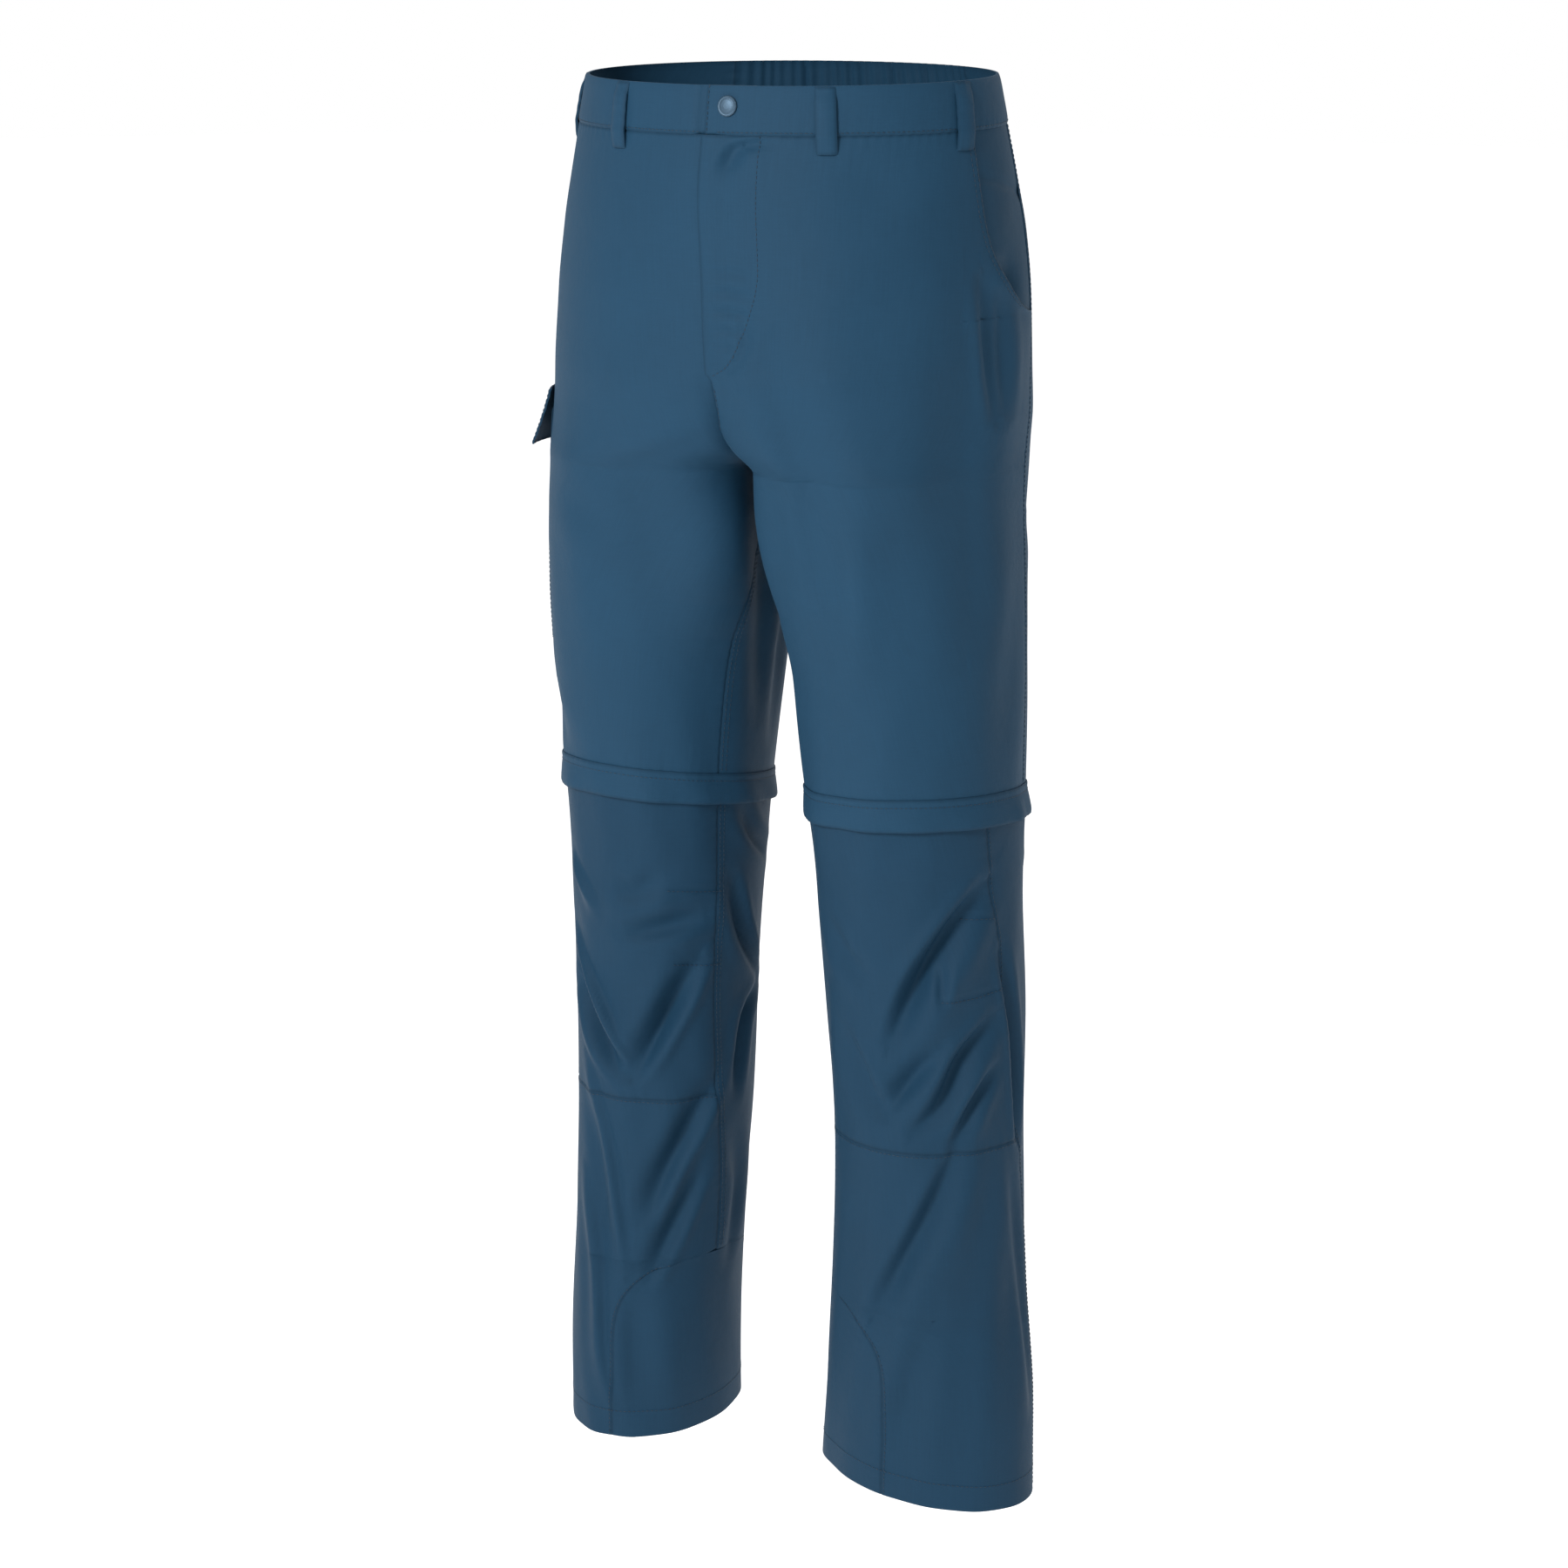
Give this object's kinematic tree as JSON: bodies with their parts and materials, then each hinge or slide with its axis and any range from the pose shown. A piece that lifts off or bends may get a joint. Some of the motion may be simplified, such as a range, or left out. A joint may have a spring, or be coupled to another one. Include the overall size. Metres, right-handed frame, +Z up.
{
  "type": "hiking trousers",
  "caption": "Hiking trousers in thin woven cloth with zip-off lower legs, scooped hand pockets, a flapped thigh pocket and an elastic back waist.",
  "frame": {"origin": "middle of the waist opening, level with the waistband's top edge", "axes": "+Z up towards the waist, -Y towards the front, +X towards the wearer's left"},
  "size_m": [0.4135, 0.2766, 1.0857],
  "materials": {
    "shell_cloth": "thin plain-woven nylon in slate blue with a soft sheen",
    "lower_cloth": "the same nylon, a shade darker",
    "inside_cloth": "matt lining and zip tape in dark blue",
    "snap_metal": "dark blue-grey lacquer, satin"
  },
  "bodies": {
    "root": {"waistband_front_left": "shell_cloth", "waistband_front_right": "shell_cloth", "waistband_back": "shell_cloth", "belt_loop_left_1": "shell_cloth", "belt_loop_left_2": "shell_cloth", "belt_loop_left_3": "shell_cloth", "belt_loop_right_1": "shell_cloth", "belt_loop_right_2": "shell_cloth", "belt_loop_right_3": "shell_cloth", "belt_loop_back": "shell_cloth", "front_left": "shell_cloth", "front_right": "shell_cloth", "back_left": "shell_cloth", "back_right": "shell_cloth", "cargo_pocket_right": "shell_cloth", "cargo_flap_right": "shell_cloth", "knee_flap_left": "shell_cloth", "knee_flap_right": "shell_cloth", "pocket_facing_left": "inside_cloth", "pocket_facing_right": "inside_cloth", "fly_facing": "inside_cloth", "knee_zip_left": "inside_cloth", "knee_zip_right": "inside_cloth", "knee_front_left": "lower_cloth", "knee_front_right": "lower_cloth", "shin_front_left": "lower_cloth", "shin_front_right": "lower_cloth", "lower_back_left": "lower_cloth", "lower_back_right": "lower_cloth", "ankle_panel_left": "lower_cloth", "ankle_panel_right": "lower_cloth", "snap_button": "snap_metal"}
  },
  "joints": []
}
